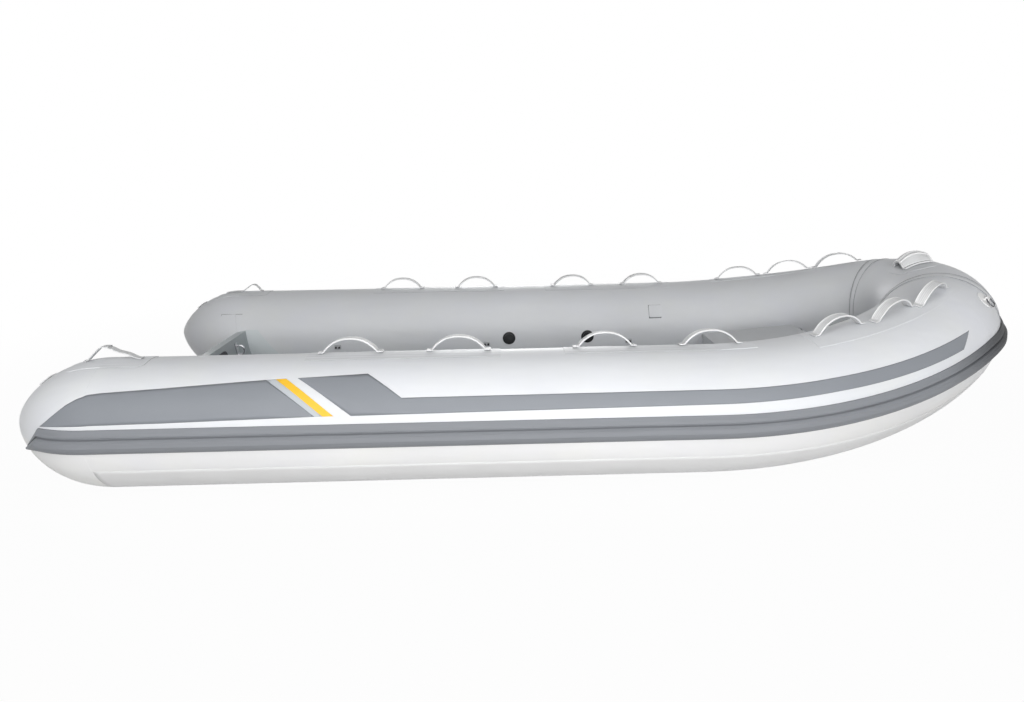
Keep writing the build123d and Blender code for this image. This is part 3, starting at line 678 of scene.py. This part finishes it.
for nodeName, node in nodes.items():
    finish = next(finish for start, finish in nodeFinishes if nodeName.startswith(start))
    if not node.data.materials:
        node.data.materials.append(paints[finish])
    for index in range(len(node.data.materials)):
        node.data.materials[index] = paints[finish]
print("finishes ready:", len(paints))

# stripes on the side tubes, as (distance from the stern, clock) points
stripes = {
    "aftBandLower": [(0.174, 14.2), (0.356, 16.8), (0.592, 17.5), (1.100, 20)],
    "aftBandUpper": [(0.174, 14.4), (0.227, 25.5), (0.266, 33.8), (0.297, 38.8), (0.320, 41.4),
                     (0.345, 43.0), (0.381, 44.1), (0.577, 47.1), (0.927, 53.4), (1.100, 20)],
    "paleLower": [(0.927, 53.3), (1.100, 20), (1.126, 20)],
    "paleUpper": [(0.927, 53.4), (0.959, 53.8), (1.126, 20)],
    "yellowLower": [(0.959, 53.7), (1.126, 20), (1.163, 20)],
    "yellowUpper": [(0.959, 53.8), (0.994, 54.2), (1.163, 20)],
    "longBandLower": [(1.033, 54.4), (1.220, 20), (2.846, 23), (3.406, 21), (3.480, 33)],
    "longBandUpper": [(1.033, 54.5), (1.269, 57.6), (1.388, 34), (2.846, 35), (3.480, 33.2)],
    "sheet": (0.0006, 0.0005),  # lift off the skin and thickness
    "paints": {"aftBand": "band", "pale": "paleStripe", "yellow": "yellowStripe", "longBand": "band"},
}
for stripe, paintName in stripes["paints"].items():
    addSkins(f"{stripe}Stripe", stripes[stripe + "Lower"], stripes[stripe + "Upper"], stripes["sheet"],
             paints[paintName], "tube_fabric")
print("stripes laid")

# seams, as distances from the stern or from the bow seam and clock angles; each sheet is (lift, thickness)
seams = {
    "tapeHalf": 0.020, "tapeClocks": (-75, 262), "tapeSheet": (0.0012, 0.001), "tapeStep": 0.01,
    "aroundRows": 90,
    "lineHalf": 0.0022, "lineSheet": (0.0024, 0.001), "lineStep": 0.004,
    "lowerAft": 0.004, "lowerFore": 3.676, "lowerClocks": (-84, -26), "lowerSheet": (0.0009, 0.0008),
    "lowerRows": 16,
}
bowSeam = tubeLine["seam"]
addStrips("bowSeamTape", (bowSeam - seams["tapeHalf"], bowSeam + seams["tapeHalf"]), seams["tapeClocks"],
          seams["tapeSheet"], paints["patch"], "patch_fabric", stepLength=seams["tapeStep"],
          rows=seams["aroundRows"])
addStrips("lowerSeamSkin", (tubeLine["coneLength"] + seams["lowerAft"], seams["lowerFore"]),
          seams["lowerClocks"], seams["lowerSheet"], paints["lowerSkin"], "tube_fabric",
          rows=seams["lowerRows"])
for name, edge in (("bowSeamAftLine", -seams["tapeHalf"]), ("bowSeamForeLine", seams["tapeHalf"])):
    run = (bowSeam + edge - seams["lineHalf"], bowSeam + edge + seams["lineHalf"])
    addStrips(name, run, seams["tapeClocks"], seams["lineSheet"], paints["seamLine"], "patch_fabric",
              stepLength=seams["lineStep"], rows=seams["aroundRows"])

# dark lines, each by its (aft, fore) distances and (low, high) clocks: a painted shadow beside the fitting
# pad's aft and lower sides, and dark lines along the transom patch's top and aft edge
padShadowAndEdgeLines = {
    "sheet": (0.0005, 0.0006),
    "strips": {
        # painted shadow: a dark sheet under the fitting pad, showing past its aft and lower sides
        "fittingPadShadow": ((bowSeam - 1.219, bowSeam - 1.1435), (140.2, 158.4)),
        "transomPatchTop": ((0.267, 0.385), (140.8, 141.4)),
        "transomPatchSide": ((0.2665, 0.2685), (141, 166)),
    },
}
for name, (run, clocks) in padShadowAndEdgeLines["strips"].items():
    addStrips(name, run, clocks, padShadowAndEdgeLines["sheet"], paints["padShadowAndEdge"], "patch_fabric")
print("seams laid")


def raiseSlab(mesh, shape):
    # a flat grid with a second skin over it; returns that skin's points
    bmesh.ops.create_grid(mesh, x_segments=shape["alongSteps"], y_segments=shape["acrossSteps"], size=0.5)
    raised = bmesh.ops.extrude_face_region(mesh, geom=mesh.faces[:])["geom"]
    return {item for item in raised if isinstance(item, bmesh.types.BMVert)}


def roundRims(mesh, shape):
    bmesh.ops.recalc_face_normals(mesh, faces=mesh.faces)
    rims = [edge for edge in mesh.edges if edge.is_manifold and edge.calc_face_angle() > shape["rimAngle"]]
    bmesh.ops.bevel(mesh, geom=rims, offset=shape["round"], segments=2, profile=0.5, affect="EDGES",
                    material=-1)


# moulded handles: an arch along the tube with a flat tab at each end and raised edges
handleShape = {
    "span": 0.190, "rise": 0.052, "tab": 0.021, "width": 0.038, "thickness": 0.004, "lift": 0.0047,
    "fullness": 2.4, "shoulder": 0.95,  # powers that set how round the arch is
    "taper": 0.0, "bend": 0.0, "dome": 0.0,  # narrower at its top, bent round the tube, fallen sides
    "rimHeight": 0.0022, "rimWidth": 0.005, "rimSharpness": 3.2,
    "ribHeight": 0.0009, "ribWidth": 0.0024, "ribPlaces": (-0.0105, -0.0035, 0.0035, 0.0105),
    "crossRibs": (),
    "tabFade": 1.6, "tabNarrow": 0.12,  # how far the rims fade over the tab, and how much it narrows
    # the paler tone set below is a painted highlight on the raised parts
    "highlightGain": 1.2,  # times the raised share, up to 1, for the paler tone
    "alongSteps": 60, "acrossSteps": 30, "slopeStep": 0.001, "rimAngle": 1.2, "round": 0.0008,
}


def archHeight(x, shape):
    # height of the arch's underside at a distance along it from its middle
    share = abs(x) / (shape["span"] / 2)
    if share >= 1:
        return 0.0
    return (shape["rise"] - shape["thickness"]) * (1 - share ** shape["fullness"]) ** shape["shoulder"]


def raisedShare(y, shape):
    # how far the strap's face stands up across it: 1 on the rims, less on the ribs
    edge = (shape["width"] / 2 - abs(y)) / shape["rimWidth"]
    share = max(0.0, 1 - (edge - 0.5) ** 2 * shape["rimSharpness"])
    for place in shape["ribPlaces"]:
        rib = max(0.0, 1 - ((y - place) / shape["ribWidth"]) ** 2)
        share = max(share, rib * shape["ribHeight"] / shape["rimHeight"])
    return share


def archMesh(shape):
    mesh = bmesh.new()
    raisedLayer = mesh.verts.layers.float.new("raised")
    tops = raiseSlab(mesh, shape)
    half, step = shape["span"] / 2 + shape["tab"], shape["slopeStep"]
    for vert in mesh.verts:
        x, y = vert.co.x * 2 * half, vert.co.y * shape["width"]
        low = archHeight(x, shape) * (1 - shape["dome"] * (2 * vert.co.y) ** 2)
        slope = (archHeight(x + step, shape) - archHeight(x - step, shape)) / (2 * step)
        normal = Vector((-slope, 0, 1)).normalized()
        tabFade = min(1.0, max(0.0, (half - abs(x)) / (shape["tab"] * shape["tabFade"])))
        share = raisedShare(y, shape) * tabFade
        for place in shape["crossRibs"]:
            share = max(share, 1 - ((x - place) / shape["ribWidth"]) ** 2)
        # the painted highlight's share, kept for the handle paint
        vert[raisedLayer] = min(1.0, share * shape["highlightGain"])
        height = shape["thickness"] + share * shape["rimHeight"] if vert in tops else 0.0
        narrow = (1 - shape["tabNarrow"] * (1 - tabFade)) * (1 - shape["taper"] * low / shape["rise"])
        vert.co = Vector((x, y * narrow, low)) + normal * height
        if shape["bend"]:
            turn, reach = vert.co.y / shape["bend"], shape["bend"] + vert.co.z
            vert.co.y, vert.co.z = reach * math.sin(turn), reach * math.cos(turn) - shape["bend"]
    roundRims(mesh, shape)
    return mesh


def addArch(name, shape, seat, side, replaced):
    mesh = archMesh(shape)
    bmesh.ops.transform(mesh, matrix=seat, verts=mesh.verts)
    if side == "starboard":
        mirrorMesh(mesh)
    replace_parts(addPiece(name, mesh, paints["handle"]), replaced)


# (distance from the stern, clock) of each aft handle, and (distance back from the bow seam, clock) of each
# fore one
aftHandles = {
    "port": [(1.203, 90), (1.604, 90), (2.126, 92), (2.504, 92)],
    "starboard": [(1.187, 94), (1.573, 94), (2.101, 97), (2.488, 97)],
}
foreHandles = {
    "port": [(0.690, 88), (0.430, 84), (0.188, 80)],
    "starboard": [(0.728, 88), (0.460, 84), (0.226, 80)],
}
for side in ("port", "starboard"):
    row = aftHandles[side] + [(bowSeam - back, clock) for back, clock in foreHandles[side]]
    for number, (place, clock) in enumerate(row, start=1):
        seat = tubeSeat(place, clock, handleShape["lift"])
        addArch(f"grabHandle{number}_{side}", handleShape, seat, side, f"handle_{number}_{side}")

# the broad handle across the bow, domed and bent round the tube
bowHandleShape = dict(
    handleShape, span=0.076, rise=0.050, width=0.138, thickness=0.007, tab=0.016, clock=105,
    fullness=2.0, taper=0.30, bend=tubeRadius + 0.0045, dome=0.42, rimHeight=0.003, rimWidth=0.006,
    ribWidth=0.0036, ribPlaces=(), crossRibs=(-0.010, 0.002, 0.014), alongSteps=110, acrossSteps=60,
)
bowSeat = tubeSeat(tubeLine["bow"], bowHandleShape["clock"], bowHandleShape["lift"])
addArch("bowHandleArch", bowHandleShape, bowSeat, "port", "bow_lifting_handle")
print("handles moulded")

# webbing loops at the stern, lying on the cones, as (distance from the stern, height off the skin) points
sternLoops = {
    "port": [(0.236, 0.004), (0.290, 0.004), (0.336, 0.004), (0.352, 0.012), (0.376, 0.029),
             (0.390, 0.0365), (0.407, 0.037), (0.424, 0.023), (0.434, 0.007), (0.439, 0.004),
             (0.446, 0.004)],
    "starboard": [(0.236, 0.004), (0.250, 0.004), (0.263, 0.014), (0.288, 0.036), (0.303, 0.0465),
                  (0.322, 0.048), (0.343, 0.0455), (0.376, 0.030), (0.409, 0.0195), (0.430, 0.009),
                  (0.442, 0.004), (0.456, 0.004)],
    "clock": 90, "width": 0.025, "thickness": 0.0035, "slopeStep": 0.004,
    "alongSteps": 90, "acrossSteps": 6, "rimAngle": 1.2, "round": 0.0012,
}


def smoothPoint(line, share):
    # a point on the smooth curve through the line's points
    place = min(max(share, 0.0), 1.0) * (len(line) - 1)
    index = min(int(place), len(line) - 2)
    t = place - index
    before, after = line[max(index - 1, 0)], line[min(index + 2, len(line) - 1)]
    start, end = line[index], line[index + 1]
    return [
        0.5 * (2 * b + (c - a) * t + (2 * a - 5 * b + 4 * c - d) * t * t + (3 * b - a - 3 * c + d) * t**3)
        for a, b, c, d in zip(before, start, end, after)
    ]


def loopMesh(line, shape):
    mesh = bmesh.new()
    tops = raiseSlab(mesh, shape)
    for vert in mesh.verts:
        share = vert.co.x + 0.5
        distance, height = smoothPoint(line, share)
        nextPlace, nextHeight = smoothPoint(line, share + shape["slopeStep"])
        lastPlace, lastHeight = smoothPoint(line, share - shape["slopeStep"])
        slope = math.atan2(nextHeight - lastHeight, nextPlace - lastPlace)
        if vert in tops:
            distance -= math.sin(slope) * shape["thickness"]
            height += math.cos(slope) * shape["thickness"]
        clock = shape["clock"] + math.degrees(vert.co.y * shape["width"] / tubeRadius)
        vert.co = onTube(distance, clock, height)
    roundRims(mesh, shape)
    return mesh


for side in ("port", "starboard"):
    mesh = loopMesh(sternLoops[side], sternLoops)
    if side == "starboard":
        mirrorMesh(mesh)
    loop = addPiece(f"sternLoop_{side}", mesh, paints["loop"])
    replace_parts(loop, f"stern_handle_{side}")
print("stern loops laid")

# pale floor at the waterline, soft lamps and a white surround
studio = {
    "floorSize": 60.0, "floorTone": 0.55, "floorSpread": 0.01, "floorGrain": 40.0, "floorRough": 0.9,
    "white": (1, 1, 1, 1), "glowNear": 0.97, "glowFar": 1.0, "glowFrom": 2.0, "glowTo": 4.5,
    "worldStrength": 0.05,
    "lamps": (
        # name, place, aimed at, size, power
        ("keyLamp", (-0.6, -6.5, 2.0), (0.0, 0.0, 0.3), 2.5, 40.0),
        ("lowLamp", (0.4, -6.5, 0.9), (0.2, 0.0, 0.3), 2.5, 184.0),
        ("overLamp", (-0.6, -3.4, 3.0), (-0.3, 0.0, 0.2), 1.5, 20.0),
        ("foreLamp", (1.6, -3.6, 2.4), (1.0, 0.0, 0.2), 1.5, 21.0),
        ("aftLamp", (-2.4, -3.4, 2.4), (-1.4, 0.0, 0.2), 1.5, 28.0),
        ("topLamp", (0.0, -1.6, 3.6), (0.0, -0.4, 0.2), 2.0, 16.0),
        ("bowLamp", (4.5, -5.0, 1.6), (0.0, 0.0, 0.3), 2.5, 27.0),
        ("backLamp", (0.0, 6.5, 1.7), (0.0, 0.0, 0.3), 3.0, 120.0),
    ),
}


def floorPaint(setup):
    # a pale floor that shows almost white where rays look for the surround, and wholly so further off
    paint = Paint("floorPaint")
    grain = paint.noise(setup["floorGrain"], 2.0) * setup["floorSpread"]
    grain = grain + (setup["floorTone"] - setup["floorSpread"] / 2)
    paint.finish({"Base Color": paint.grey(grain), "Roughness": setup["floorRough"]})
    glow = paint.add("ShaderNodeEmission", {}, {"Color": setup["white"], "Strength": 1.0})
    away = paint.add("ShaderNodeVectorMath", {"operation": "LENGTH"}, {0: paint.position()}, "Value")
    fade = paint.step(away, setup["glowFrom"], setup["glowTo"]) * (setup["glowFar"] - setup["glowNear"])
    share = paint.shownRays() * (fade + setup["glowNear"])
    plain = Value(paint, paint.shader.outputs[0])
    mixed = paint.add("ShaderNodeMixShader", {}, {0: share, 1: plain, 2: glow})
    paint.fill(paint.nodes["Material Output"].inputs["Surface"], mixed)
    return paint.material


def addFloor(setup):
    mesh = bmesh.new()
    bmesh.ops.create_grid(mesh, x_segments=1, y_segments=1, size=setup["floorSize"] / 2)
    data = bpy.data.meshes.new("floor")
    mesh.to_mesh(data)
    mesh.free()
    floor = bpy.data.objects.new("floor", data)
    bpy.context.scene.collection.objects.link(floor)
    data.materials.append(floorPaint(setup))


def addLamp(name, place, target, size, power):
    data = bpy.data.lights.new(name, "AREA")
    data.shape, data.size, data.energy = "DISK", size, power
    lamp = bpy.data.objects.new(name, data)
    aim = (Vector(target) - Vector(place)).to_track_quat("-Z", "Y")
    lamp.matrix_world = Matrix.Translation(place) @ aim.to_matrix().to_4x4()
    bpy.context.scene.collection.objects.link(lamp)


def setSurround(setup):
    # dim where it lights the boat, white where it is seen
    world = bpy.data.worlds.new("surround")
    bpy.context.scene.world = world
    world.use_nodes = True
    tree = Tree(world.node_tree)
    lit = tree.nodes["Background"]
    tree.fill(lit.inputs["Color"], setup["white"])
    tree.fill(lit.inputs["Strength"], setup["worldStrength"])
    seen = tree.add("ShaderNodeBackground", {}, {"Color": setup["white"], "Strength": 1.0})
    share = tree.shownRays()
    mixed = tree.add("ShaderNodeMixShader", {}, {0: share, 1: Value(tree, lit.outputs[0]), 2: seen})
    tree.fill(tree.nodes["World Output"].inputs["Surface"], mixed)


addFloor(studio)
for lamp in studio["lamps"]:
    addLamp(*lamp)
setSurround(studio)
print("studio ready")
